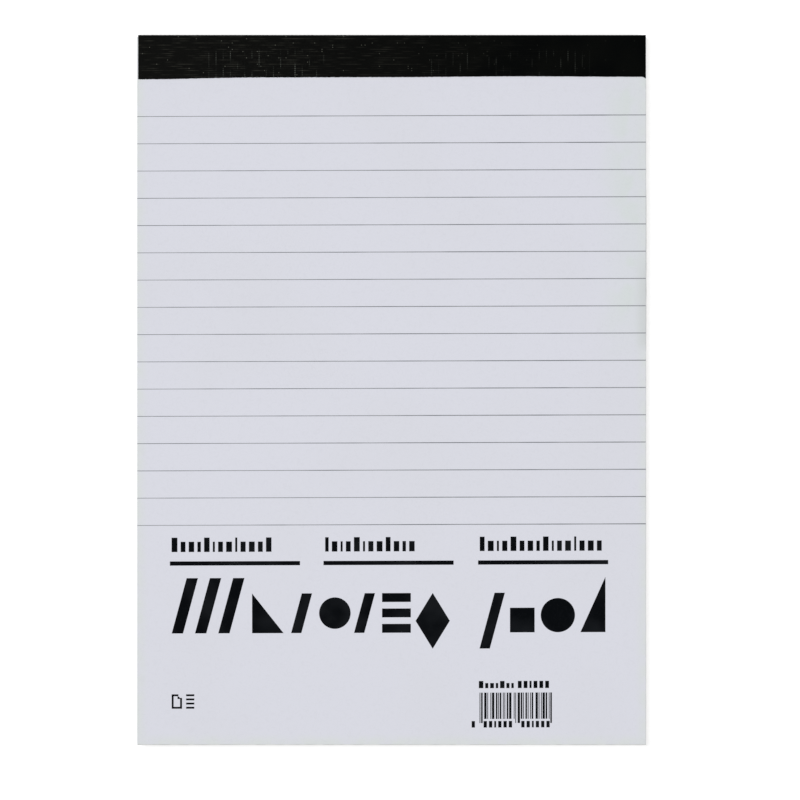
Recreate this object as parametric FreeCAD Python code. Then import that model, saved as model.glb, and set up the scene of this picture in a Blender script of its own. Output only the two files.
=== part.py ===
import FreeCAD, Part
import os
from FreeCAD import Vector

# A writing pad bound at its head, lying closed on its back. Sizes are in millimetres.
# +X runs across the pad, +Y towards the bound head and +Z up, out of the front cover.
# The origin is under the middle of the whole pad, on the surface that the pad lies on.

# The stack, from the board at the back to the cover at the front
sheet_width = 149.0
sheet_length = 207.2
board_thickness = 0.9
page_count = 80
page_thickness = 0.09
cover_thickness = 0.15

# The free leaf of the cover was trimmed a hair short of the pages, on the right and at the foot
leaf_right_setback = 0.3
leaf_foot_setback = 0.3
# Air that the free leaf keeps under it, and the slit where it meets its own bound strip
leaf_air = 0.05
crease_slit = 0.3

# Padding glue, brushed on the cut head of the stack
glue_thickness = 0.3

# The tape that is folded round the head. Its depths are measured from the pad's outer head face.
tape_thickness = 0.2
tape_back_depth = 12.5
tape_front_depth = 12.35
tape_end_gap = 0.3
tape_corner_radius = 0.3
# The front edge was cut by hand: how much deeper it runs than the depth above, at even
# steps from the left end of the tape to its right end
tape_edge_drift = (0.64, 0.08, 0.0, -0.24, -0.1)
# Strip of cover that shows between the deepest point of the tape and the crease
crease_margin = 0.3

# Heights and places that follow from those sizes
page_block_thickness = page_count * page_thickness
board_bottom = tape_thickness
pages_bottom = board_bottom + board_thickness
cover_bottom = pages_bottom + page_block_thickness
cover_top = cover_bottom + cover_thickness
tape_top = cover_top + tape_thickness
overall_length = sheet_length + glue_thickness + tape_thickness
head_outer = overall_length / 2
tape_inner = head_outer - tape_thickness
sheet_head = tape_inner - glue_thickness
sheet_foot = sheet_head - sheet_length
sheet_right = sheet_width / 2
sheet_left = -sheet_right
tape_right = sheet_right - tape_end_gap
tape_left = -tape_right
tape_width = tape_right - tape_left
crease = head_outer - tape_front_depth - max(tape_edge_drift) - crease_margin


def slab(left, right, foot, head, bottom, top):
    """A flat sheet or stack of sheets, given by its edges and its two faces."""
    return Part.makeBox(right - left, head - foot, top - bottom, Vector(left, foot, bottom))


def make_back_board():
    return slab(sheet_left, sheet_right, sheet_foot, sheet_head, board_bottom, pages_bottom)


def make_page_block():
    return slab(sheet_left, sheet_right, sheet_foot, sheet_head, pages_bottom, cover_bottom)


def make_cover_bound_strip():
    """The cover sheet's strip from the crease to the head, held under the tape."""
    return slab(sheet_left, sheet_right, crease, sheet_head, cover_bottom, cover_top)


def make_front_cover():
    """The cover sheet's free leaf, which turns up about the crease and over the head."""
    right = sheet_right - leaf_right_setback
    foot = sheet_foot + leaf_foot_setback
    head = crease - crease_slit
    bottom = cover_bottom + leaf_air
    return slab(sheet_left, right, foot, head, bottom, bottom + cover_thickness)


def make_head_glue():
    """The glue film, which fills the tape's fold from its back flange to its front one."""
    return slab(tape_left, tape_right, sheet_head, tape_inner, board_bottom, cover_top)


def tape_section():
    """The tape's folded section at its left end: a flat back flange, a web up the head and
    a flat front flange. It lies tight on square corners, so each fold is an arc about the
    inner corner, and the tape keeps its thickness all the way round."""
    half_turn = tape_thickness * 0.5 ** 0.5
    back_edge = head_outer - tape_back_depth
    front_edge = crease

    def at(y, z):
        return Vector(tape_left, y, z)

    edges = [
        Part.LineSegment(at(back_edge, 0), at(tape_inner, 0)),
        Part.Arc(
            at(tape_inner, 0),
            at(tape_inner + half_turn, board_bottom - half_turn),
            at(head_outer, board_bottom),
        ),
        Part.LineSegment(at(head_outer, board_bottom), at(head_outer, cover_top)),
        Part.Arc(
            at(head_outer, cover_top),
            at(tape_inner + half_turn, cover_top + half_turn),
            at(tape_inner, tape_top),
        ),
        Part.LineSegment(at(tape_inner, tape_top), at(front_edge, tape_top)),
        Part.LineSegment(at(front_edge, tape_top), at(front_edge, cover_top)),
        Part.LineSegment(at(front_edge, cover_top), at(tape_inner, cover_top)),
        Part.LineSegment(at(tape_inner, cover_top), at(tape_inner, board_bottom)),
        Part.LineSegment(at(tape_inner, board_bottom), at(back_edge, board_bottom)),
        Part.LineSegment(at(back_edge, board_bottom), at(back_edge, 0)),
    ]
    return Part.Face(Part.Wire([edge.toShape() for edge in edges]))


def offcut():
    """What the front edge's uneven cut takes off: all of the flange between the crease and
    a smooth line that drifts about the tape's depth."""
    steps = len(tape_edge_drift) - 1
    points = [
        Vector(
            tape_left + tape_width * step / steps,
            head_outer - tape_front_depth - drift,
            cover_top,
        )
        for step, drift in enumerate(tape_edge_drift)
    ]
    cut_line = Part.BSplineCurve()
    cut_line.interpolate(points)
    below = crease - crease_margin
    left_corner = Vector(tape_left, below, cover_top)
    right_corner = Vector(tape_right, below, cover_top)
    outline = Part.Wire(
        [
            cut_line.toShape(),
            Part.makeLine(points[-1], right_corner),
            Part.makeLine(right_corner, left_corner),
            Part.makeLine(left_corner, points[0]),
        ]
    )
    return Part.Face(outline).extrude(Vector(0, 0, tape_thickness))


def is_free_corner(edge):
    """True for the short upright edges at the ends of the two flanges' free edges."""
    ends = [vertex.Point for vertex in edge.Vertexes]
    if len(ends) != 2:
        return False
    upright = (ends[0] - ends[1]).cross(Vector(0, 0, 1)).Length < 1e-6
    on_flange = abs(edge.Length - tape_thickness) < 1e-6 and ends[0].y < sheet_head
    return upright and on_flange


def make_binding_tape():
    folded = tape_section().extrude(Vector(tape_width, 0, 0))
    trimmed = folded.cut(offcut())
    corners = [edge for edge in trimmed.Edges if is_free_corner(edge)]
    return trimmed.makeFillet(tape_corner_radius, corners)


pieces = {
    "binding_tape": make_binding_tape(),
    "head_glue": make_head_glue(),
    "page_block": make_page_block(),
    "back_board": make_back_board(),
    "cover_bound_strip": make_cover_bound_strip(),
    "front_cover": make_front_cover(),
}

os.makedirs("parts", exist_ok=True)
for name, piece in pieces.items():
    shape = piece if piece.ShapeType == "Solid" else piece.Solids[0]
    shape.exportStep(f"parts/{name}.step")
    box = shape.BoundBox
    print(f"{name}: {box.XLength:.2f} x {box.YLength:.2f} x {box.ZLength:.2f} mm, "
          f"volume {shape.Volume / 1000:.3f} cm3, valid {shape.isValid()}")
print(f"crease at y {crease:.3f}, level with z {tape_top:.3f}")
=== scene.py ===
# %% [markdown]
# # Dressing a head-bound writing pad
# The pad is a stack of ruled paper on a grey board, under a printed paper cover, with a strip
# of black cloth tape folded round its glued head. The solids come first and fix every size.
# This lesson gives them paper, ink, cloth and board, and leaves each one where the solids lie.

# %% Load the solids
import math
import random

import bmesh
import bpy
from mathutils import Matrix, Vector


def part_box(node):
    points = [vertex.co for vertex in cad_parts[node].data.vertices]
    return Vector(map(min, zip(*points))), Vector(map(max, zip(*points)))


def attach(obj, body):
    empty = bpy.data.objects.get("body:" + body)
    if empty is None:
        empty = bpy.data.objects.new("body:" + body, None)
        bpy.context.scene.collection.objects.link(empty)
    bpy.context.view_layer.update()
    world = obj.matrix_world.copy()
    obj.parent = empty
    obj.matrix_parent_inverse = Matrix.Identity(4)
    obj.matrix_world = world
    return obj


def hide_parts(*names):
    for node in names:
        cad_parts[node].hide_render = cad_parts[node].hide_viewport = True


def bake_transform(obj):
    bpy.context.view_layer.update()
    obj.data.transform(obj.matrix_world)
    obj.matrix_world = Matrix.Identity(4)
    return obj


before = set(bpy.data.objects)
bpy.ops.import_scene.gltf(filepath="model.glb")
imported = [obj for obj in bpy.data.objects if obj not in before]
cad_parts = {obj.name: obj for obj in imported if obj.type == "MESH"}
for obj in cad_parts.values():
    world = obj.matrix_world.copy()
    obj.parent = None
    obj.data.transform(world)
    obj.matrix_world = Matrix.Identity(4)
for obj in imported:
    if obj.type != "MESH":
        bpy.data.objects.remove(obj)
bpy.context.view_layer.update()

print("solids:", sorted(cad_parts))

# %% [markdown]
# Every length below is read off the solids' own boxes, or is a real size in millimetres.
# That keeps the dressing tied to the pad: if a solid changes, its paper or cloth follows.

# %% Sizes of the pad
mm = 0.001
tape_low, tape_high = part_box("binding_tape")
pages_low, pages_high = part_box("page_block")
board_low, board_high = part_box("back_board")
strip_low, strip_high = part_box("cover_bound_strip")
leaf_low, leaf_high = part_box("front_cover")
crease = strip_low.y
sheet_thickness = strip_high.z - strip_low.z
tape_thickness = tape_high.z - strip_high.z
head_outer = tape_high.y

# %% [markdown]
# The photograph looks straight down on the pad through a long lens, so no side of it shows.
# A perspective camera far above it gives the same picture. The pad sat a little left of and
# above the middle of that picture, so the camera stands a little right of and below the pad.

# %% Camera
picture_pixels = 800
pad_left_pixel = 137.2
pad_right_pixel = 646.8
pad_head_pixel = 34.9
pad_foot_pixel = 745.3
metres_per_pixel = (pages_high.x - pages_low.x) / (pad_right_pixel - pad_left_pixel)
picture_middle = picture_pixels / 2
camera_data = bpy.data.cameras.new("camera")
camera_data.lens = 200
camera_data.sensor_width = 36
camera_distance = picture_pixels * metres_per_pixel * camera_data.lens / camera_data.sensor_width
camera = bpy.data.objects.new("camera", camera_data)
camera.location = (
    (picture_middle - (pad_left_pixel + pad_right_pixel) / 2) * metres_per_pixel,
    ((pad_head_pixel + pad_foot_pixel) / 2 - picture_middle) * metres_per_pixel,
    leaf_high.z + camera_distance,
)
bpy.context.scene.collection.objects.link(camera)
bpy.context.scene.camera = camera
print(f"camera {camera_distance:.3f} m above the cover, {1000 * metres_per_pixel:.4f} mm a pixel")

# %% [markdown]
# Soft light keeps paper even. The main lamp hangs above and to the left, close enough to the
# camera's line for the black tape to catch a little of its shine at its left end. A fill lamp
# on the right and a plain grey sky lift the far side. Together they light a level white sheet
# to about full white, so each colour shows as it is written.

# %% Lamps
def add_lamp(name, place, aim, side, power):
    lamp = bpy.data.lights.new(name, "AREA")
    lamp.shape = "SQUARE"
    lamp.size = side
    lamp.energy = power
    holder = bpy.data.objects.new(name, lamp)
    holder.location = place
    holder.rotation_euler = (Vector(aim) - Vector(place)).to_track_quat("-Z", "Y").to_euler()
    bpy.context.scene.collection.objects.link(holder)
    print(f"{name}: {side} m square, {power} W")


pad_middle = (0, 0, leaf_high.z)
add_lamp("main_lamp", place=(-0.30, 0.16, 1.25), aim=pad_middle, side=0.4, power=7.7)
add_lamp("fill_lamp", place=(1.0, -0.5, 1.1), aim=pad_middle, side=1.0, power=6.9)

# %% [markdown]
# Colours are picked as a screen shows them, from 0 to 255, and a shader wants them as light.
# This helper turns one into the other.

# %% Colour helper
def screen_colour(red, green, blue):
    def light(level):
        share = level / 255
        return share / 12.92 if share <= 0.04045 else ((share + 0.055) / 1.055) ** 2.4

    return (light(red), light(green), light(blue), 1.0)


print("217 on a screen is", round(screen_colour(217, 217, 217)[0], 3), "as light")

# %% [markdown]
# A shader recipe is a tree of nodes. Each of these helpers adds one node, plugs in what is
# already a socket and sets what is a plain value, so a recipe reads like a list of steps. The
# ramp is a smooth one, because worn paper and cloth have no sharp borders.

# %% Node helpers
def feed(tree, value, socket):
    if isinstance(value, bpy.types.NodeSocket):
        tree.links.new(value, socket)
    elif value is not None:
        socket.default_value = value


def feed_all(tree, node, values):
    for label, value in values.items():
        feed(tree, value, node.inputs[label.replace("_", " ")])
    return node


def add_node(tree, kind, **values):
    """A node, with sockets or plain values fed to its inputs by label, and _ for a space."""
    return feed_all(tree, tree.nodes.new("ShaderNode" + kind), values)


def maths(tree, operation, first, second=None):
    node = add_node(tree, "Math")
    node.operation = operation
    feed(tree, first, node.inputs[0])
    feed(tree, second, node.inputs[1])
    return node.outputs[0]


def product(tree, first, *others):
    for value in others:
        first = maths(tree, "MULTIPLY", first, value)
    return first


def vector_maths(tree, operation, first, second=None, scale=None):
    """Maths on a place or a way. Only SCALE takes a scale, which is the fourth input."""
    node = add_node(tree, "VectorMath")
    node.operation = operation
    for value, socket in ((first, 0), (second, 1), (scale, 3)):
        feed(tree, value, node.inputs[socket])
    return node.outputs[0]


def map_range(tree, source, low, high, to_low=0.0, to_high=1.0):
    """A smooth ramp from to_low, where the source is low, to to_high, where it is high."""
    node = add_node(
        tree, "MapRange", Value=source, From_Min=low, From_Max=high, To_Min=to_low, To_Max=to_high
    )
    node.interpolation_type = "SMOOTHSTEP"
    return node.outputs["Result"]


def mix_colour(tree, share, first, second):
    """A colour between first and second, each of them a socket or four plain numbers."""
    node = add_node(tree, "Mix")
    node.data_type = "RGBA"
    for value, label in ((share, "Factor"), (first, "A"), (second, "B")):
        feed(tree, value, node.inputs[label])
    return node.outputs["Result"]


helpers = (add_node, maths, product, vector_maths, map_range, mix_colour)
print("node helpers:", ", ".join(helper.__name__ for helper in helpers))

# %% [markdown]
# The next helpers start a material with its one Principled shader, and give it a colour and a
# bump at the end.
# An effect that several papers share is a node group with named inputs and outputs. It is
# built once and placed in each material with that paper's own values.

# %% Material and group helpers
def new_material(name, roughness, specular):
    material = bpy.data.materials.new(name)
    material.use_nodes = True
    tree = material.node_tree
    shader = tree.nodes["Principled BSDF"]
    shader.inputs["Roughness"].default_value = roughness
    shader.inputs["Specular IOR Level"].default_value = specular
    print("material:", name)
    return material, tree, shader


def colour_and_bump(tree, shader, colour, height, strength, distance):
    bump = add_node(tree, "Bump", Height=height, Strength=strength, Distance=distance)
    feed_all(tree, shader, {"Base Color": colour, "Normal": bump.outputs["Normal"]})


def new_group(name, inputs, outputs):
    group = bpy.data.node_groups.new(name, "ShaderNodeTree")
    for label, kind, value in inputs:
        socket = group.interface.new_socket(label, in_out="INPUT", socket_type=kind)
        if value is not None:
            socket.default_value = value
    for label, kind in outputs:
        group.interface.new_socket(label, in_out="OUTPUT", socket_type=kind)
    print("group:", name)
    return group, group.nodes.new("NodeGroupInput"), group.nodes.new("NodeGroupOutput")


def place_group(tree, group, **values):
    node = add_node(tree, "Group")
    node.node_tree = group
    return feed_all(tree, node, values)


def object_place(tree):
    return add_node(tree, "TexCoord").outputs["Object"]


def flat_place(tree, map_name):
    """Where a point of a bent sheet lies when the sheet is flat, which its UV map stores."""
    node = add_node(tree, "UVMap")
    node.uv_map = map_name
    return node.outputs["UV"]


# %% [markdown]
# The sky is one plain grey for light, and plain white where the camera looks past the table or
# something shiny mirrors it. A Light Path node tells those rays apart, so the white backdrop
# puts no more light on the pad. The table's material asks the same question later.

# %% Sky
sky_light = 0.38


def rays_that_see(tree):
    """One for a ray from the camera, off a mirror or through glass, and zero for light."""
    rays = add_node(tree, "LightPath").outputs
    seen = maths(tree, "MAXIMUM", rays["Is Camera Ray"], rays["Is Glossy Ray"])
    return maths(tree, "MAXIMUM", seen, rays["Is Transmission Ray"])


world = bpy.data.worlds.new("sky")
bpy.context.scene.world = world
world.use_nodes = True
sky = world.node_tree
sky.nodes.clear()
sky_mix = add_node(sky, "MixShader", Fac=rays_that_see(sky))
for strength, place in ((sky_light, 1), (1.0, 2)):
    background = add_node(sky, "Background", Color=(1, 1, 1, 1), Strength=strength)
    sky.links.new(background.outputs[0], sky_mix.inputs[place])
sky_output = add_node(sky, "OutputWorld")
sky.links.new(sky_mix.outputs[0], sky_output.inputs["Surface"])
bpy.context.scene.view_settings.view_transform = "Standard"
print("sky:", sky_light, "for light and 1.0 where it is seen")

# %% [markdown]
# Paper and board are felted fibres. Close up, the surface is a fine uneven tooth with a few
# longer hairs lying in it. A small round noise gives the tooth. Two more noises, squeezed
# along one way so that their blobs become hairs, lie across each other, and a slow noise
# pushes their places about first, which bends the hairs. The group hands out a height for a
# bump and a mask of hairs for a little colour.

# %% Group: paper fibre
fibre_group, group_in, group_out = new_group(
    "Paper Fibre",
    [("Vector", "NodeSocketVector", None), ("Grains per metre", "NodeSocketFloat", 4000.0)],
    [("Height", "NodeSocketFloat"), ("Hairs", "NodeSocketFloat")],
)
spot, grains = group_in.outputs["Vector"], group_in.outputs["Grains per metre"]
tooth = add_node(fibre_group, "TexNoise", Vector=spot, Scale=grains, Detail=3.0, Roughness=0.6)
hair_size = product(fibre_group, grains, 0.5)
push_size = product(fibre_group, grains, 0.11)
push_reach = maths(fibre_group, "DIVIDE", 14.0, grains)
push_noise = add_node(fibre_group, "TexNoise", Vector=spot, Scale=push_size, Detail=1.0)
push = vector_maths(fibre_group, "SUBTRACT", push_noise.outputs["Color"], (0.5, 0.5, 0.5))
push = vector_maths(fibre_group, "SCALE", push, scale=push_reach)
pushed_spot = vector_maths(fibre_group, "ADD", spot, push)


def hair_layer(turn):
    """Hairs that lie one way: a noise squeezed to a fifth along X, after a turn about Z."""
    turned = add_node(fibre_group, "VectorRotate", Vector=pushed_spot, Angle=turn)
    turned.rotation_type = "Z_AXIS"
    squeeze = add_node(
        fibre_group, "Mapping", Vector=turned.outputs["Vector"], Scale=(0.2, 1.0, 1.0)
    )
    layer = add_node(
        fibre_group, "TexNoise", Vector=squeeze.outputs["Vector"], Scale=hair_size, Detail=1.0
    )
    return map_range(fibre_group, layer.outputs["Fac"], 0.57, 0.7)


hairs = maths(fibre_group, "MAXIMUM", hair_layer(0.4), hair_layer(1.9))
height = maths(fibre_group, "ADD", tooth.outputs["Fac"], product(fibre_group, hairs, 0.4))
feed_all(fibre_group, group_out, {"Height": height, "Hairs": hairs})


def with_hairs(tree, colour, fibre, share, tint):
    """A colour with the hairs of a placed fibre group in it, in their own tint."""
    return mix_colour(tree, product(tree, fibre.outputs["Hairs"], share), colour, tint)



# %% [markdown]
# No sheet is one flat colour: it is a touch greyer here and there, in patches a few
# centimetres wide. A slow noise blends a clean colour with a greyer one.

# %% Group: slow mottle
mottle_group, group_in, group_out = new_group(
    "Slow Mottle",
    [
        ("Vector", "NodeSocketVector", None),
        ("Patches per metre", "NodeSocketFloat", 25.0),
        ("Clean", "NodeSocketColor", (1, 1, 1, 1)),
        ("Grey", "NodeSocketColor", (0.8, 0.8, 0.8, 1)),
    ],
    [("Color", "NodeSocketColor"), ("Mask", "NodeSocketFloat")],
)
inlets = group_in.outputs
patches = add_node(
    mottle_group, "TexNoise", Vector=inlets["Vector"], Scale=inlets["Patches per metre"], Detail=2.0
)
patch_mask = map_range(mottle_group, patches.outputs["Fac"], 0.42, 0.68)
patch_colour = mix_colour(mottle_group, patch_mask, inlets["Clean"], inlets["Grey"])
feed_all(mottle_group, group_out, {"Color": patch_colour, "Mask": patch_mask})

# %% [markdown]
# This group takes the middle and half size of a sheet, works out how far a point is from the
# nearest edge, and returns a mask that fades in over the last stretch, broken up by a noise so
# that it isn't a drawn line. It tints the cover's edges greener and the board's edges paler, and
# it places the painted shade round the first page's rim.

# %% Group: handled edge
edge_group, group_in, group_out = new_group(
    "Edge Fade",
    [
        ("Vector", "NodeSocketVector", None),
        ("Middle", "NodeSocketVector", (0, 0, 0)),
        ("Half size", "NodeSocketVector", (1, 1, 1)),
        ("Reach", "NodeSocketFloat", 0.001),
    ],
    [("Mask", "NodeSocketFloat")],
)
inlets = group_in.outputs
from_middle = vector_maths(edge_group, "SUBTRACT", inlets["Vector"], inlets["Middle"])
from_middle = vector_maths(edge_group, "ABSOLUTE", from_middle)
to_edge = vector_maths(edge_group, "SUBTRACT", inlets["Half size"], from_middle)
ways = add_node(edge_group, "SeparateXYZ", Vector=to_edge)
nearest = maths(edge_group, "MINIMUM", ways.outputs["X"], ways.outputs["Y"])
fade = map_range(edge_group, maths(edge_group, "DIVIDE", nearest, inlets["Reach"]), 0.0, 1.0, 1.0, 0.0)
edge_noise = add_node(edge_group, "TexNoise", Vector=inlets["Vector"], Scale=260.0)
broken = map_range(edge_group, edge_noise.outputs["Fac"], 0.3, 0.65, 0.35, 1.0)
feed(edge_group, product(edge_group, fade, broken), group_out.inputs["Mask"])


def edge_mask(tree, place, low, high, reach):
    """The group's mask for a sheet between two corners."""
    middle, half = tuple((low + high) / 2), tuple((high - low) / 2)
    node = place_group(tree, edge_group, Vector=place, Middle=middle, Half_size=half, Reach=reach)
    return node.outputs["Mask"]



# %% [markdown]
# The cover is a thin uncoated sheet, white with a cold lavender cast. The cast fades to a
# greener white along its edges, and to a greener, slightly darker white in patches over the
# right-hand side below the head. A painted shade greys the right edge over the stretch where it
# lifts, in place of the shade of an edge that turns away from the lamp. The sheet bends, so the
# recipe reads the flat position that the mesh carries as its UV map.

# %% Material: cover paper
cover_white = screen_colour(217, 218, 227)
cover_shade = screen_colour(216, 217, 225)
cover_edge_tint = screen_colour(215, 219, 219)
cover_edge_reach = 3.6 * mm
# A greener, slightly darker white in patches over the right-hand side below the head
right_patch_tint = screen_colour(212, 218, 218)
right_patch_starts = leaf_high.x - 17 * mm
right_patch_full = leaf_high.x - 3 * mm
right_patch_foot = crease - 88 * mm
right_patch_head = crease - 66 * mm
# Painted shade along the cover's right edge, for an edge that turns away from the lamp
painted_edge_shade_tint = screen_colour(205, 209, 210)
painted_edge_shade_starts = leaf_high.x - 4 * mm
cover_hair_tint = screen_colour(196, 197, 204)
sheet_low = Vector((leaf_low.x, leaf_low.y, 0))
sheet_high = Vector((leaf_high.x, strip_high.y, 0))


def cover_paper():
    material, tree, shader = new_material("cover_paper", 0.65, 0.12)
    flat = flat_place(tree, "flat_sheet")
    across, along = add_node(tree, "SeparateXYZ", Vector=flat).outputs[:2]
    mottle = place_group(
        tree, mottle_group, Vector=flat, Patches_per_metre=22.0, Clean=cover_white, Grey=cover_shade
    )
    patchy = place_group(tree, mottle_group, Vector=flat, Patches_per_metre=85.0)
    # Greener, slightly darker patches near the right edge, fading out towards the foot
    right_patch = product(
        tree,
        map_range(tree, across, right_patch_starts, right_patch_full),
        map_range(tree, along, right_patch_foot, right_patch_head),
        map_range(tree, patchy.outputs["Mask"], 0.15, 0.85, 0.4, 1.0),
    )
    # Painted shade: a strip along the right edge, over the stretch where the edge lifts
    painted_edge_shade = product(
        tree,
        map_range(tree, along, crease - 46 * mm, crease - 62 * mm),
        map_range(tree, along, crease - 80 * mm, crease - 76 * mm),
        map_range(tree, across, painted_edge_shade_starts, leaf_high.x),
    )
    edges = edge_mask(tree, flat, sheet_low, sheet_high, cover_edge_reach)
    fibre = place_group(tree, fibre_group, Vector=flat, Grains_per_metre=3600.0)
    colour = mix_colour(tree, edges, mottle.outputs["Color"], cover_edge_tint)
    colour = mix_colour(tree, right_patch, colour, right_patch_tint)
    colour = mix_colour(tree, painted_edge_shade, colour, painted_edge_shade_tint)
    colour = with_hairs(tree, colour, fibre, 0.1, cover_hair_tint)
    colour_and_bump(tree, shader, colour, fibre.outputs["Height"], 0.25, 0.02 * mm)
    return material


cover_material = cover_paper()

# %% [markdown]
# The writing sheets are a brighter, softer white. Their cut edges show the same paper end on,
# and each sheet is a shade lighter or darker than the next. An Attribute node reads a shade
# that the mesh stores for every sheet. The first sheet has a painted shade round its rim, where
# the cover doesn't quite reach: grey in place of the shadow at the edge of the stack.

# %% Material: page paper
page_white = screen_colour(235, 235, 234)
page_mottle = screen_colour(232, 233, 232)
sheet_edge_tint = screen_colour(204, 205, 202)
page_rim_painted_shade = screen_colour(196, 197, 196)
page_rim_shade_reach = 0.9 * mm
page_hair_tint = screen_colour(205, 203, 198)


def page_paper():
    material, tree, shader = new_material("page_paper", 0.75, 0.12)
    place = object_place(tree)
    shade = add_node(tree, "Attribute")
    shade.attribute_name = "sheet_shade"
    mottle = place_group(
        tree, mottle_group, Vector=place, Patches_per_metre=30.0, Clean=page_white, Grey=page_mottle
    )
    fibre = place_group(tree, fibre_group, Vector=place, Grains_per_metre=3200.0)
    rim = edge_mask(tree, place, pages_low, pages_high, page_rim_shade_reach)
    up = add_node(tree, "SeparateXYZ", Vector=place).outputs["Z"]
    first_face = map_range(tree, up, pages_high.z - 0.02 * mm, pages_high.z - 0.005 * mm)
    colour = mix_colour(tree, shade.outputs["Fac"], mottle.outputs["Color"], sheet_edge_tint)
    # Painted shade round the first sheet's rim, on its upward face only
    colour = mix_colour(tree, product(tree, rim, first_face), colour, page_rim_painted_shade)
    colour = with_hairs(tree, colour, fibre, 0.07, page_hair_tint)
    colour_and_bump(tree, shader, colour, fibre.outputs["Height"], 0.25, 0.02 * mm)
    return material


page_material = page_paper()

# %% [markdown]
# Backing board is grey because it is pressed from mixed waste paper. Its flecks are what a
# buyer remembers: pale and dark hairs in a warm grey ground, and a rough face. The fibre group
# is placed twice, coarse for the pale hairs and fine for the dark ones.

# %% Material: grey board
board_grey = screen_colour(158, 153, 144)
board_dull = screen_colour(146, 142, 134)
pale_hair_tint = screen_colour(186, 182, 174)
dark_hair_tint = screen_colour(116, 111, 104)
board_edge_tint = screen_colour(176, 172, 165)
board_edge_reach = 1.5 * mm


def grey_board():
    material, tree, shader = new_material("grey_board", 0.9, 0.15)
    place = object_place(tree)
    mottle = place_group(
        tree, mottle_group, Vector=place, Patches_per_metre=45.0, Clean=board_grey, Grey=board_dull
    )
    coarse = place_group(tree, fibre_group, Vector=place, Grains_per_metre=1500.0)
    fine = place_group(tree, fibre_group, Vector=place, Grains_per_metre=3800.0)
    edges = edge_mask(tree, place, board_low, board_high, board_edge_reach)
    colour = with_hairs(tree, mottle.outputs["Color"], coarse, 0.35, pale_hair_tint)
    colour = with_hairs(tree, colour, fine, 0.4, dark_hair_tint)
    colour = mix_colour(tree, product(tree, edges, 0.35), colour, board_edge_tint)
    colour_and_bump(tree, shader, colour, coarse.outputs["Height"], 0.5, 0.05 * mm)
    return material


board_material = grey_board()

# %% [markdown]
# The tape is black cloth, or paper embossed like it. Some of its threads are paler. To light up
# whole threads at a time, these helpers count threads off the flat map and feed the count to a
# stretched noise or to a toss of a coin.

# %% Thread helpers
def flat_vector(tree, x, y):
    return add_node(tree, "CombineXYZ", X=x, Y=y).outputs[0]


def thread_lines(tree, across, pitch, share):
    """The number of each thread, and a line on its middle that is a share of the pitch wide."""
    place = maths(tree, "DIVIDE", across, pitch)
    off_middle = maths(tree, "ABSOLUTE", maths(tree, "SUBTRACT", maths(tree, "FRACT", place), 0.5))
    return maths(tree, "FLOOR", place), map_range(tree, off_middle, share * 0.2, share / 2, 1.0, 0.0)


def broken_threads(tree, along, number, streaks_per_metre, low, high):
    """Noise that runs slowly along a thread and jumps from one thread to the next."""
    place = flat_vector(tree, product(tree, along, streaks_per_metre), product(tree, number, 7.31))
    noise = add_node(tree, "TexNoise", Vector=place, Scale=1.0, Detail=2.0)
    return map_range(tree, noise.outputs["Fac"], low, high)


def scattered(tree, first_number, second_number, share):
    """One at a random share of all crossings of two sets of numbered threads."""
    toss = add_node(tree, "TexWhiteNoise")
    toss.noise_dimensions = "2D"
    tree.links.new(flat_vector(tree, first_number, second_number), toss.inputs["Vector"])
    return maths(tree, "LESS_THAN", toss.outputs["Value"], share)


def stretch(tree, along, first, last, fade):
    """One between two places along the tape, with a fade outside them."""
    first, last = tape_low.x + first * mm, tape_low.x + last * mm
    rise = map_range(tree, along, first - fade * mm, first)
    fall = map_range(tree, along, last, last + fade * mm, 1.0, 0.0)
    return product(tree, rise, fall)


# %% [markdown]
# The paler threads are of three kinds: fine ones that run along the head in broken streaks,
# upright ones two millimetres apart that are dotted where they dip under the others, and
# bright grains where two of them cross. They are partly the cloth's own paler threads and
# partly painted sheen. A painted sheen also lightens the left half of the tape and fades out
# towards the right end, and the fine streaks and the grains fade with it. Black needs almost
# no shine, or it would mirror the white backdrop as grey.

# %% Material: black cloth tape
long_thread_pitch = 0.62 * mm
cross_thread_pitch = 2.1 * mm
grain_pitch = 1.05 * mm
# The painted sheen fades between these places
painted_sheen_full = tape_low.x + 28 * mm
painted_sheen_gone = tape_high.x - 14 * mm
# Upright threads are pale on these stretches: first and last millimetre from the left end, fade
pale_stretch = (24.0, 50.0, 7.0)
palest_stretch = (40.0, 47.5, 4.0)
faint_stretch = (88.0, 126.0, 8.0)
# They fade out near the folds, in front between the first two depths and behind the others
front_fade = (-3.6 * mm, -5.4 * mm)
back_fade = (strip_high.z + 3 * mm, strip_high.z + 5 * mm)
tape_black = screen_colour(1, 2, 2)
tape_black_mottle = screen_colour(4, 5, 4)
painted_sheen_black = screen_colour(10, 10, 8)
# Pale thread colours: partly the threads' own paler colour, partly painted sheen and glints
long_thread_and_sheen_tint = screen_colour(45, 45, 40)
cross_thread_and_sheen_tint = screen_colour(104, 109, 102)
grain_and_glint_tint = screen_colour(104, 106, 96)


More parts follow.
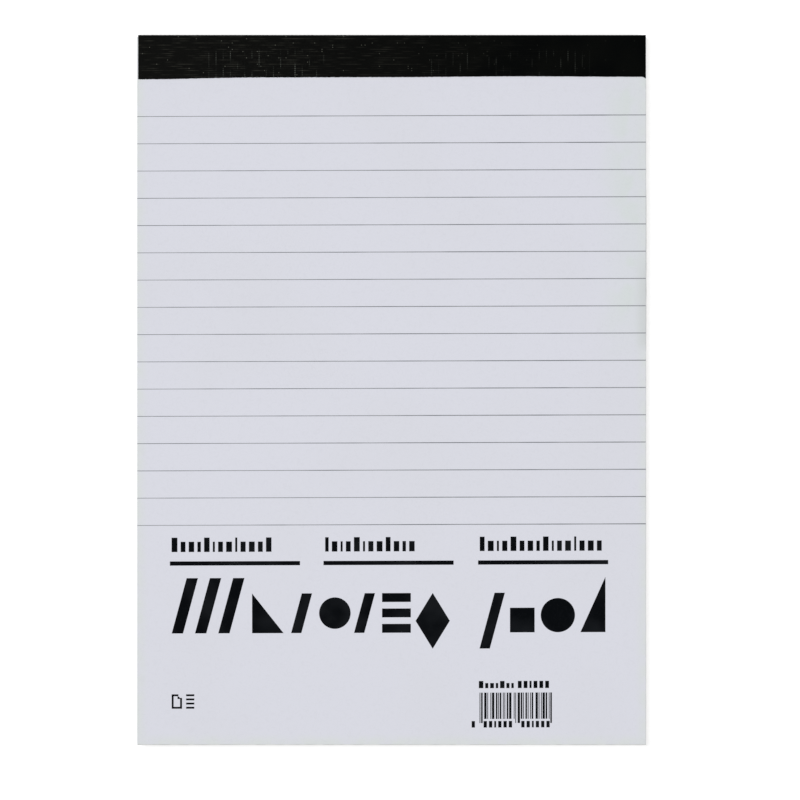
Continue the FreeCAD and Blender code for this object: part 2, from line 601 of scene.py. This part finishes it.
def black_cloth():
    material, tree, shader = new_material("black_cloth_tape", 0.42, 0.012)
    shader.inputs["Sheen Weight"].default_value = 0.02
    shader.inputs["Sheen Roughness"].default_value = 0.4
    flat = flat_place(tree, "flat_tape")
    along, round_head = add_node(tree, "SeparateXYZ", Vector=flat).outputs[:2]
    # Painted sheen: full at the left end of the tape, gone near the right end
    painted_sheen = map_range(tree, along, painted_sheen_full, painted_sheen_gone, 1.0, 0.0)

    long_number, long_line = thread_lines(tree, round_head, long_thread_pitch, 0.45)
    long_seen = broken_threads(tree, along, long_number, 190.0, 0.44, 0.76)
    long_share = product(tree, long_line, long_seen, painted_sheen)

    cross_number, cross_line = thread_lines(tree, along, cross_thread_pitch, 0.13)
    cross_seen = broken_threads(tree, round_head, cross_number, 210.0, 0.46, 0.66)
    pale = product(tree, stretch(tree, along, *pale_stretch), 0.6)
    palest = stretch(tree, along, *palest_stretch)
    faint = product(tree, stretch(tree, along, *faint_stretch), 0.3)
    where_pale = maths(tree, "MAXIMUM", maths(tree, "MAXIMUM", pale, palest), faint)
    in_front = map_range(tree, round_head, *front_fade)
    behind = map_range(tree, round_head, *back_fade)
    off_fold = maths(tree, "MAXIMUM", in_front, behind)
    dots = map_range(tree, long_line, 0.0, 1.0, 0.2, 1.0)
    cross_share = product(tree, cross_line, cross_seen, where_pale, off_fold, dots)

    grain_number, grain_line = thread_lines(tree, along, grain_pitch, 0.26)
    chosen = scattered(tree, grain_number, long_number, 0.035)
    grain_sheen = map_range(tree, painted_sheen, 0.0, 1.0, 0.15, 1.0)
    grain_share = product(tree, grain_line, long_line, 0.8, chosen, grain_sheen)

    mottle = place_group(
        tree, mottle_group, Vector=flat, Patches_per_metre=60.0,
        Clean=tape_black, Grey=tape_black_mottle,
    )
    # Painted sheen lightens the black towards the left end
    colour = mix_colour(tree, product(tree, painted_sheen, 0.6), mottle.outputs["Color"], painted_sheen_black)
    # Pale threads and grains: partly thread colour, partly painted sheen that fades to the right
    colour = mix_colour(tree, long_share, colour, long_thread_and_sheen_tint)
    colour = mix_colour(tree, cross_share, colour, cross_thread_and_sheen_tint)
    colour = mix_colour(tree, grain_share, colour, grain_and_glint_tint)
    tree.links.new(map_range(tree, painted_sheen, 0.0, 1.0, 0.5, 0.4), shader.inputs["Roughness"])
    fibre = place_group(tree, fibre_group, Vector=flat, Grains_per_metre=5200.0)
    colour_and_bump(tree, shader, colour, fibre.outputs["Height"], 0.35, 0.03 * mm)
    return material


tape_material = black_cloth()

# %% [markdown]
# Offset ink sinks into uncoated paper, so solid black keeps the paper's tooth and lets a few
# fibres show as lighter specks. The ruled lines are a thin grey of the same ink, and it lies
# heavier on some stretches of a line than on others.

# %% Materials: inks
def ink(name, full, thin, patches_per_metre):
    material, tree, shader = new_material(name, 0.75, 0.015)
    place = object_place(tree)
    fibre = place_group(tree, fibre_group, Vector=place, Grains_per_metre=4200.0)
    mottle = place_group(
        tree, mottle_group, Vector=place, Patches_per_metre=patches_per_metre, Clean=full, Grey=thin
    )
    colour = with_hairs(tree, mottle.outputs["Color"], fibre, 0.25, thin)
    colour_and_bump(tree, shader, colour, fibre.outputs["Height"], 0.2, 0.02 * mm)
    return material


black_ink = ink("black_ink", screen_colour(7, 9, 12), screen_colour(22, 24, 27), 90.0)
rule_ink = ink("rule_ink", screen_colour(150, 152, 157), screen_colour(118, 121, 126), 70.0)
page_ink = ink("page_ink", screen_colour(164, 168, 176), screen_colour(184, 188, 194), 70.0)

# %% [markdown]
# Padding glue is a rubbery off-white film. Only its thin ends show, between the sheets and the
# ends of the tape, so a plain mottled recipe is enough.

# %% Material: padding glue
def padding_glue():
    material, tree, shader = new_material("padding_glue", 0.45, 0.4)
    mottle = place_group(
        tree, mottle_group, Vector=object_place(tree), Patches_per_metre=300.0,
        Clean=screen_colour(226, 222, 208), Grey=screen_colour(208, 203, 188),
    )
    tree.links.new(mottle.outputs["Color"], shader.inputs["Base Color"])
    return material


glue_material = padding_glue()

# %% [markdown]
# Two of the solids are already the right shape: the backing board, a trimmed slab, and the film
# of glue inside the tape. They keep their own meshes and only take a finish.

# %% Board and glue
for node_name, material in (("back_board", board_material), ("head_glue", glue_material)):
    solid = bpy.data.objects[node_name]
    solid.data.materials.clear()
    solid.data.materials.append(material)
    print("finished", node_name, "with", material.name)

# %% [markdown]
# Every made piece starts as a list of points and faces. This helper turns them into an object
# and makes all its faces look outward. It also counts the edges that don't join two faces: a
# closed piece has none.

# %% Mesh helper
def make_piece(name, points, faces, material, smooth=False):
    mesh = bpy.data.meshes.new(name)
    mesh.from_pydata(points, [], faces)
    shape = bmesh.new()
    shape.from_mesh(mesh)
    bmesh.ops.recalc_face_normals(shape, faces=shape.faces[:])
    open_edges = sum(1 for edge in shape.edges if len(edge.link_faces) != 2)
    shape.to_mesh(mesh)
    shape.free()
    mesh.materials.append(material)
    if smooth:
        mesh.shade_smooth()
    piece = bpy.data.objects.new(name, mesh)
    bpy.context.scene.collection.objects.link(piece)
    print(f"{name}: {len(mesh.vertices)} points, {len(mesh.polygons)} faces, {open_edges} edges open")
    return piece


# %% [markdown]
# The cover is one sheet: a strip held under the tape and a leaf that is free from the crease to
# the foot. It lies flat on the pages, and lifts by a tenth of a millimetre at its right edge,
# where it was handled, and at the corners of its foot. One function gives the height of its
# face, and the print uses the same function, so that the ink lies on the paper everywhere.

# %% Lie of the cover
crease_run = 4 * mm
edge_lift = 0.1 * mm
edge_lift_middle = crease - 52 * mm
edge_lift_half_length = 30 * mm
edge_lift_width = 16 * mm
corner_lift = 0.09 * mm
corner_reach = 26 * mm


def smooth_step(share):
    share = min(1.0, max(0.0, share))
    return share * share * (3 - 2 * share)


def cover_face(x, y):
    """Height of the cover's printed face at a place on the pad."""
    air = (leaf_high.z - strip_high.z) * smooth_step((crease - y) / crease_run)
    along = max(0.0, 1 - ((y - edge_lift_middle) / edge_lift_half_length) ** 2)
    near_edge = smooth_step(1 - (leaf_high.x - x) / edge_lift_width)
    lift = edge_lift * along * near_edge
    for corner_x in (leaf_low.x, leaf_high.x):
        reach = math.hypot(x - corner_x, y - leaf_low.y)
        lift += corner_lift * smooth_step(1 - reach / corner_reach)
    return strip_high.z + air + lift


print(f"cover face from {1000 * cover_face(0, 0):.3f} to "
      f"{1000 * cover_face(leaf_high.x, edge_lift_middle):.3f} mm up")

# %% [markdown]
# The sheet is a grid with a top, a bottom and a rim, as thick as the real paper. Its rows are
# crowded near the crease, where the sheet rises from the strip to the leaf. A stiff sheet
# bends nowhere else, so the rest of the grid is coarse.

# %% Cover sheet
sheet_cell = 2.5 * mm
fold_cell = 0.16 * mm
strip_cell = 3 * mm


def spread(low, high, step):
    """Even places from low to high, about a step apart."""
    count = max(1, round((high - low) / step))
    return [low + (high - low) * i / count for i in range(count + 1)]


def closed_sheet(name, xs, ys, face, thickness, material):
    wide, deep = len(xs), len(ys)
    over = [(x, y, face(x, y)) for y in ys for x in xs]
    under = [(x, y, z - thickness) for x, y, z in over]
    below = wide * deep
    faces = []
    for j in range(deep - 1):
        for i in range(wide - 1):
            a = j * wide + i
            faces.append((a, a + 1, a + wide + 1, a + wide))
            faces.append((below + a, below + a + wide, below + a + wide + 1, below + a + 1))
    rim = list(range(wide))
    rim += [j * wide + wide - 1 for j in range(1, deep)]
    rim += [(deep - 1) * wide + i for i in range(wide - 2, -1, -1)]
    rim += [j * wide for j in range(deep - 2, 0, -1)]
    for a, b in zip(rim, rim[1:] + rim[:1]):
        faces.append((a, below + a, below + b, b))
    return make_piece(name, over + under, faces, material)


rows = spread(leaf_low.y, crease - crease_run, sheet_cell)
rows += spread(crease - crease_run, crease, fold_cell)[1:]
rows += spread(crease, strip_high.y, strip_cell)[1:]
columns = spread(leaf_low.x, leaf_high.x, sheet_cell)
cover_sheet = closed_sheet("cover_sheet", columns, rows, cover_face, sheet_thickness, cover_material)
flat_map = cover_sheet.data.uv_layers.new(name="flat_sheet")
for loop in cover_sheet.data.loops:
    point = cover_sheet.data.vertices[loop.vertex_index].co
    flat_map.data[loop.index].uv = (point.x, point.y)
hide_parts("front_cover", "cover_bound_strip")
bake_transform(cover_sheet)

# %% [markdown]
# A block of pages is cut in one stroke, yet no two sheets end quite level. Each sheet here is
# its own thin slab, and its edges wander by hundredths of a millimetre from the sheet below.
# Some in the upper half stand out a little further at the right, behind the lifted stretch of
# the cover. Real sheets give the sides their fine lines, and open the way to a ruled first page.

# %% Page sheets
page_count = 80
sheet_pitch = (pages_high.z - pages_low.z) / page_count
sheet_gap = 0.004 * mm
edge_room = 0.1 * mm
edge_step = 0.03 * mm
bulge_low = crease - 76 * mm
bulge_high = crease - 28 * mm
bulge = 0.12 * mm
draw = random.Random(7)


def wander(value, step, limit):
    return min(limit, max(-limit, value + draw.uniform(-step, step)))


def right_edge(y, out):
    """How far right a sheet reaches: its cut edge, and the bulge over its lifted stretch."""
    middle, half = (bulge_low + bulge_high) / 2, (bulge_high - bulge_low) / 2
    over = smooth_step((1 - abs(y - middle) / half) * 3)
    return pages_high.x - edge_room / 2 - bulge + bulge * over * out


points, faces, shades = [], [], []
left_drift = right_drift = foot_drift = 0.0
bulge_ys = spread(bulge_low, bulge_high, 3 * mm)
for number in range(page_count):
    left_drift = wander(left_drift, edge_step, edge_room / 2)
    right_drift = wander(right_drift, edge_step, edge_room / 2)
    foot_drift = wander(foot_drift, edge_step, edge_room / 2)
    out = smooth_step(number / page_count * 2 - 0.6) * draw.uniform(0.7, 1.0)
    foot = pages_low.y + edge_room / 2 + foot_drift
    left = pages_low.x + edge_room / 2 + left_drift
    ring = [(left, foot)]
    ring += [(right_edge(y, out) + right_drift, y) for y in [foot] + bulge_ys + [pages_high.y]]
    ring.append((left, pages_high.y))
    bottom = pages_low.z + number * sheet_pitch
    top = bottom + sheet_pitch - (sheet_gap if number < page_count - 1 else 0)
    first = len(points)
    points += [(x, y, bottom) for x, y in ring] + [(x, y, top) for x, y in ring]
    around = len(ring)
    faces.append(tuple(range(first + around - 1, first - 1, -1)))
    faces.append(tuple(range(first + around, first + 2 * around)))
    for i in range(around):
        k = (i + 1) % around
        faces.append((first + i, first + k, first + around + k, first + around + i))
    shades += [draw.uniform(0.0, 0.45)] * (2 * around)
shades[-2 * around:] = [0.0] * (2 * around)
page_sheets = make_piece("page_sheets", points, faces, page_material)
shade_layer = page_sheets.data.attributes.new("sheet_shade", "FLOAT", "POINT")
shade_layer.data.foreach_set("value", shades)
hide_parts("page_block")
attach(page_sheets, "pad")

# %% [markdown]
# The tape is one strip, folded over the head and down the back. Laid flat it is a rectangle
# with a hand-cut front edge, so the mesh is made flat and each point is then carried round the
# section: front flange, fold, web, fold, back flange.

# %% Shape of the tape
fold_radius = tape_thickness
tape_inner = head_outer - tape_thickness
web_height = strip_high.z - board_low.z
quarter = fold_radius * math.pi / 2
front_depth = 12.35 * mm
edge_drift = [0.64 * mm, 0.08 * mm, 0.0, -0.24 * mm, -0.1 * mm]
back_depth = 12.5 * mm
burr_depth = 0.45 * mm
burr_width = 0.9 * mm


def front_edge(x):
    """How deep the hand-cut front edge runs, from the outer face of the head. It ends in a
    small burr at the right, where the knife left the cloth."""
    share = (x - tape_low.x) / (tape_high.x - tape_low.x) * (len(edge_drift) - 1)
    step = min(len(edge_drift) - 2, int(share))
    ease = smooth_step(share - step)
    burr = burr_depth * smooth_step(1 - (tape_high.x - x) / burr_width)
    return front_depth + edge_drift[step] * (1 - ease) + edge_drift[step + 1] * ease + burr


def round_the_head(s, inset):
    """A point of the section, s past the start of the front fold, and inset from its face."""
    reach = fold_radius - inset
    if s < 0:
        return tape_inner + s, tape_high.z - inset
    if s < quarter:
        turn = s / fold_radius
        return tape_inner + reach * math.sin(turn), strip_high.z + reach * math.cos(turn)
    s -= quarter
    if s < web_height:
        return head_outer - inset, strip_high.z - s
    s -= web_height
    if s < quarter:
        turn = s / fold_radius
        return tape_inner + reach * math.cos(turn), board_low.z - reach * math.sin(turn)
    return tape_inner - (s - quarter), tape_low.z + inset


flat_back = quarter * 2 + web_height + back_depth - tape_thickness
print(f"tape laid flat: {1000 * (tape_high.x - tape_low.x):.1f} x "
      f"{1000 * (flat_back + front_depth - tape_thickness):.1f} mm")

# %% [markdown]
# The outside is a fine grid, and the cloth's weave is in it: every second point along and round
# the tape is the top of a thread or the gap between two. Each fold has a few more rows. In
# front, the rows are drawn in or let out so that the last one lands on the hand-cut edge.

# %% Weave of the tape
thread_pitch = 0.6 * mm
half_pitch = thread_pitch / 2
weave_depth = 0.035 * mm
fray = 0.05 * mm
tape_xs = spread(tape_low.x, tape_high.x, half_pitch)
front_span = front_depth + max(edge_drift)
fold_start = quarter + web_height
row_places = spread(-front_span, 0, half_pitch)[:-1]
first_fold = len(row_places)
row_places += spread(0, quarter, quarter / 3)[:-1] + spread(quarter, fold_start, half_pitch)[:-1]
row_places += spread(fold_start, fold_start + quarter, quarter / 3)
last_fold = len(row_places) - 1
row_places += spread(fold_start + quarter, flat_back, half_pitch)[1:]
deep = len(row_places)
last_column = len(tape_xs) - 1
long_fat = [draw.uniform(0.45, 1.0) for _ in range(deep)]
cross_fat = [draw.uniform(0.45, 1.0) for _ in tape_xs]
tape_points, tape_map = [], []
for i, x in enumerate(tape_xs):
    edge = front_edge(x) - tape_thickness + draw.uniform(-fray, fray)
    for j, place in enumerate(row_places):
        s = place * edge / front_span if place < 0 else place
        crossing = math.cos(math.pi * i / 2) * math.cos(math.pi * j / 2)
        fat = max(long_fat[j // 2], cross_fat[i // 2])
        y, z = round_the_head(s, weave_depth * (0.5 - 0.5 * crossing * fat))
        tape_points.append((x, y, z))
        tape_map.append((x, s))
print(f"weave: {len(tape_xs)} points along and {deep} round the head")

# %% [markdown]
# The inside is hidden against paper and glue, so it is three plain faces that share the grid's
# rim, and the tape is still one closed solid. Round a fold all the inner points of the rim fall
# on its corner, and a point in one place is made once.

# %% Binding tape
tape_faces = []
for i in range(last_column):
    for j in range(deep - 1):
        a = i * deep + j
        tape_faces.append((a, a + deep, a + deep + 1, a + 1))
rim = list(range(deep))
rim += [i * deep + deep - 1 for i in range(1, last_column + 1)]
rim += [last_column * deep + j for j in range(deep - 2, -1, -1)]
rim += [i * deep for i in range(last_column - 1, 0, -1)]
partner, made = {}, {}
for index in rim:
    x, s = tape_map[index]
    y, z = round_the_head(s, tape_thickness)
    place = (round(x, 7), round(y, 7), round(z, 7))
    if place not in made:
        made[place] = len(tape_points)
        tape_points.append((x, y, z))
        tape_map.append((x, s))
    partner[index] = made[place]
for a, b in zip(rim, rim[1:] + rim[:1]):
    corners = [a, partner[a], partner[b], b]
    tape_faces.append([c for k, c in enumerate(corners) if c != corners[k - 1]])
left_side = [partner[j] for j in range(deep)]
right_side = [partner[last_column * deep + j] for j in range(deep)]
front_inner = left_side[: first_fold + 1] + right_side[first_fold::-1]
front_inner += [partner[i * deep] for i in range(last_column - 1, 0, -1)]
web_inner = left_side[first_fold : last_fold + 1] + right_side[last_fold : first_fold - 1 : -1]
back_inner = left_side[last_fold:] + [partner[i * deep + deep - 1] for i in range(1, last_column)]
back_inner += right_side[: last_fold - 1 : -1]
for inner in (front_inner, web_inner, back_inner):
    tape_faces.append([p for k, p in enumerate(inner) if p != inner[k - 1]])
tape = make_piece("cloth_tape", tape_points, tape_faces, tape_material, smooth=True)
tape_layer = tape.data.uv_layers.new(name="flat_tape")
for loop in tape.data.loops:
    tape_layer.data[loop.index].uv = tape_map[loop.vertex_index]
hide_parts("binding_tape")
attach(tape, "pad")

# %% [markdown]
# Print is ink in simple outlines, measured in millimetres across from the pad's left edge and
# down from its head. It all sits a fifth of a degree askew on the sheet, which `on_pad` allows
# for. Three plain outlines are enough: a bar, which may lean, a disc or a slice of one, and a
# polygon.

# %% Outlines for print
print_tilt = math.radians(0.19)
print_pivot_across = 74.5


def on_pad(across, down):
    rise = math.tan(print_tilt) * (across - print_pivot_across)
    return pages_low.x + across * mm, head_outer + (rise - down) * mm


def polygon(*places):
    return [on_pad(*place) for place in places]


def bar(across, down, wide, tall, lean=0.0):
    """An upright bar by its lower left corner, leaning right by so much at its top."""
    return polygon(
        (across, down), (across + wide, down), (across + wide + lean, down - tall),
        (across + lean, down - tall),
    )


def disc(across, down, radius, start=0.0, end=360.0):
    """A disc, or with a start and an end a slice of one, about its centre."""
    steps = max(8, round((end - start) / 5))
    whole = end - start >= 360
    places = [] if whole else [(across, down)]
    for i in range(steps if whole else steps + 1):
        turn = math.radians(start + (end - start) * i / steps)
        places.append((across + radius * math.cos(turn), down - radius * math.sin(turn)))
    return polygon(*places)


print(f"print lies {math.degrees(print_tilt):.2f} degrees askew, "
      f"and a disc of 5 mm has {len(disc(0.0, 0.0, 5.0))} corners")

# %% [markdown]
# Each outline becomes a thin slab of ink. It is sliced every few millimetres, laid on the
# paper's own height and given its thickness, so it stays sharp from any distance.

# %% Slabs of ink
ink_height = 0.02 * mm
ink_root = 0.012 * mm
slice_step = 3 * mm


def sliced(name, outlines):
    """The outlines as flat faces, sliced both ways: their points and their cells."""
    shape = bmesh.new()
    for outline in outlines:
        shape.faces.new([shape.verts.new((x, y, 0)) for x, y in outline])
    for axis, low, high in ((0, pages_low.x, pages_high.x), (1, pages_low.y, pages_high.y)):
        normal = Vector((axis == 0, axis == 1, 0))
        for place in spread(low, high, slice_step)[1:-1]:
            everything = shape.verts[:] + shape.edges[:] + shape.faces[:]
            bmesh.ops.bisect_plane(shape, geom=everything, plane_co=normal * place, plane_no=normal)
    flat = bpy.data.meshes.new(name)
    shape.to_mesh(flat)
    shape.free()
    plan = [vertex.co.copy() for vertex in flat.vertices]
    cells = [tuple(polygon.vertices) for polygon in flat.polygons]
    bpy.data.meshes.remove(flat)
    return plan, cells


def print_piece(name, outlines, material, body, face):
    plan, cells = sliced(name, outlines)
    count = len(plan)
    points = [(p.x, p.y, face(p.x, p.y) + ink_height) for p in plan]
    points += [(p.x, p.y, face(p.x, p.y) - ink_root) for p in plan]
    faces = cells + [tuple(count + i for i in reversed(cell)) for cell in cells]
    sides = {}
    for cell in cells:
        for a, b in zip(cell, cell[1:] + cell[:1]):
            if (b, a) in sides:
                del sides[(b, a)]
            else:
                sides[(a, b)] = True
    faces += [(b, a, count + a, count + b) for a, b in sides]
    piece = make_piece(name, points, faces, material)
    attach(piece, body)


print(f"ink {1000 * ink_height:.2f} mm high, in slices of {1000 * slice_step:.0f} mm")

# %% [markdown]
# Sixteen thin grey rules run right across the cover, eight millimetres apart, as the sheets
# inside are ruled. Nothing stops them at the margin: the sheet was trimmed after printing.
# The press laid more ink at the right, so each rule grows by half its weight on its way there.

# %% Ruled lines on the cover
rule_count = 16
first_rule = 23.63
rule_spacing = 7.97
left_weight = 0.18
right_weight = 0.28
pad_width = (leaf_high.x - leaf_low.x) / mm


def rule_lines(count, start, end, start_weight, end_weight):
    lines = []
    for number in range(count):
        down = first_rule + rule_spacing * number
        lines.append(
            polygon(
                (start, down + start_weight / 2), (end, down + end_weight / 2),
                (end, down - end_weight / 2), (start, down - start_weight / 2),
            )
        )
    return lines


cover_rules = rule_lines(rule_count, 0.0, pad_width, left_weight, right_weight)
print_piece("cover_rules", cover_rules, rule_ink, "cover", cover_face)

# %% [markdown]
# Under the rules stand three rows of small blocks, each over a heavy bar. The blocks take
# their widths in turn from one short list, and each row starts at another place in it.

# %% Bars and rows of blocks
bar_starts = [9.56, 54.47, 99.67]
bar_length = 38.05
bar_weight = 1.23
bar_middle = 154.35
row_base = 151.0
row_height = 3.0
row_rise = 4.2
row_indent = 0.5
row_lengths = [30.7, 27.5, 37.1]
block_widths = [1.7, 1.4, 1.6, 1.0, 1.6, 0.6, 1.4, 1.7, 0.6, 1.5]
block_gap = 0.95

underlines = [bar(start, bar_middle + bar_weight / 2, bar_length, bar_weight) for start in bar_starts]
print_piece("underline_bars", underlines, black_ink, "cover", cover_face)


def block_row(start, base, length, height, rise, widths, gap):
    """Small blocks in a row, every fourth of them as tall as rise."""
    blocks, across, number = [], start, 0
    while across < start + length - gap:
        wide = min(widths[number % len(widths)], start + length - across)
        tall = rise if number % 4 == 0 else height
        blocks.append(bar(across, base, wide, tall))
        across += wide + gap
        number += 1
    return blocks


blocks = []
for start, length, shift in zip(bar_starts, row_lengths, (0, 3, 6)):
    widths = block_widths[shift:] + block_widths[:shift]
    blocks += block_row(start + row_indent, row_base, length, row_height, row_rise, widths, block_gap)
print_piece("caption_blocks", blocks, black_ink, "cover", cover_face)

# %% [markdown]
# Below them is a row of large plain figures in solid ink: slanted bars, a triangle, a disc,
# stacked bars and a diamond, and after a gap a long bar, a square, a disc and a taller
# triangle. They stand on one base line, and two of them reach below it.

# %% Large figures
base_line = 174.8
small_height = 11.6
tall_height = 16.15
foot_line = base_line + 4.7
small_top = base_line - small_height
slant = 0.27
thick_bar = 3.3
thin_bar = 3.0
diamond_across = 86.4
diamond_half = 5.0
diamond_middle = (foot_line + small_top) / 2


def slanted(across, down, wide, tall):
    return bar(across, down, wide, tall, lean=tall * slant)


figures = [slanted(10.1 + number * 6.8, base_line, thick_bar, tall_height) for number in range(3)]
figures.append(polygon((33.6, base_line), (42.8, base_line), (33.6, small_top)))
figures.append(slanted(45.0, base_line, thin_bar, small_height))
figures.append(disc(57.8, base_line - small_height / 2, 4.6))
figures.append(slanted(63.4, base_line, thin_bar, small_height))
figures += [bar(71.6, base_line - number * 4.5, 8.4, 2.6) for number in range(3)]
figures.append(
    polygon(
        (diamond_across, foot_line), (diamond_across + diamond_half, diamond_middle),
        (diamond_across, small_top), (diamond_across - diamond_half, diamond_middle),
    )
)
figures.append(slanted(100.1, foot_line, thin_bar, foot_line - small_top))
figures.append(bar(109.0, base_line, 7.2, 7.2))
figures.append(disc(123.0, base_line - 5.0, 5.0))
figures.append(polygon((129.6, base_line), (136.9, base_line), (136.9, base_line - tall_height)))
print_piece("title_figures", figures, black_ink, "cover", cover_face)

# %% [markdown]
# The foot of the cover has a small outline of a page with a turned corner at the left, beside
# four short lines. At the right stands a block of fine upright bars between two rows of tiny
# blocks. The bars and the gaps take their widths in turn from two short lists.

# %% Marks at the foot
page_left, page_base, page_wide, page_tall = 10.1, 196.8, 3.0, 4.2
line = 0.55
lines_left, lines_wide = page_left + 4.2, 2.4
marks = [
    bar(page_left, page_base, line, page_tall),
    bar(page_left + line, page_base, page_wide - line, line),
    bar(page_left + page_wide - line, page_base - line, line, 2.6),
    bar(page_left + line, page_base - page_tall + line, 1.4, line),
    disc(page_left + 1.7, page_base - page_tall + 1.35, 0.75, 0.0, 90.0),
]
marks += [bar(lines_left, page_base - up, lines_wide, line) for up in (0.0, 1.22, 2.44, 3.65)]
print("small page and lines:", len(marks), "outlines")

# %% [markdown]
# The block of bars is as wide as 95 of its thinnest bars. Two bars in every fourteen are
# longer, and stand between the tiny blocks of the lower row.

# %% Fine bars and tiny blocks
bars_left, bars_right = 100.1, 121.7
bars_top, bars_base, long_base = 192.4, 200.1, 201.3
module = (bars_right - bars_left) / 95
bar_run = [1, 2, 3, 1, 1, 3, 2, 1, 2, 1]
gap_run = [1, 2, 1, 3, 1, 2, 1, 1, 2]
across, number = bars_left, 0
while across < bars_right - module:
    wide = min(bar_run[number % len(bar_run)] * module, bars_right - across)
    low_end = long_base if number % 14 < 2 else bars_base
    marks.append(bar(across, low_end, wide, low_end - bars_top))
    across += wide + gap_run[number % len(gap_run)] * module
    number += 1

low_base, low_height = 202.6, 1.9
low_widths = [0.95, 0.95, 0.55, 0.95, 0.95]
for start, length, gap in ((101.3, 9.0, 0.6), (112.3, 8.5, 0.6), (97.8, 1.2, 0.45)):
    marks += block_row(start, low_base, length, low_height, low_height, low_widths, gap)
high_base, high_rise = 191.1, 2.1
marks += block_row(99.9, high_base, 10.2, 1.5, high_rise, [1.3, 0.9, 1.1, 0.7], 0.55)
marks += block_row(111.3, high_base, 9.7, high_rise, high_rise, [1.1, 1.1, 0.6, 1.1], 0.6)
print_piece("foot_marks", marks, black_ink, "cover", cover_face)

# %% [markdown]
# With the cover turned over, the first writing sheet shows. It carries the same ruling in a
# paler grey, from below the tape to the foot.

# %% Ruled lines on the first page
page_rule_count = 22
page_rule_weight = 0.2
page_rule_margin = 0.3


def page_face(x, y):
    return pages_high.z


page_rules = rule_lines(
    page_rule_count, page_rule_margin, pad_width - page_rule_margin, page_rule_weight, page_rule_weight
)
print_piece("page_rules", page_rules, page_ink, "pad", page_face)

# %% [markdown]
# The pad lies on a plain white table. The table's white is its own colour, with a trace of
# glow that only the camera sees, so that it meets the white sky and still keeps the shadow.

# %% Table
table_half = 0.7
table_glow = 0.46
table_material, table_tree, table_shader = new_material("white_table", 0.9, 0.0)
table_shader.inputs["Base Color"].default_value = (0.8, 0.8, 0.8, 1)
table_shader.inputs["Emission Color"].default_value = (1, 1, 1, 1)
seen_glow = product(table_tree, rays_that_see(table_tree), table_glow)
table_tree.links.new(seen_glow, table_shader.inputs["Emission Strength"])
corners = [(x * table_half, y * table_half, 0) for x, y in ((-1, -1), (1, -1), (1, 1), (-1, 1))]
table = make_piece("white_table", corners, [(0, 1, 2, 3)], table_material)
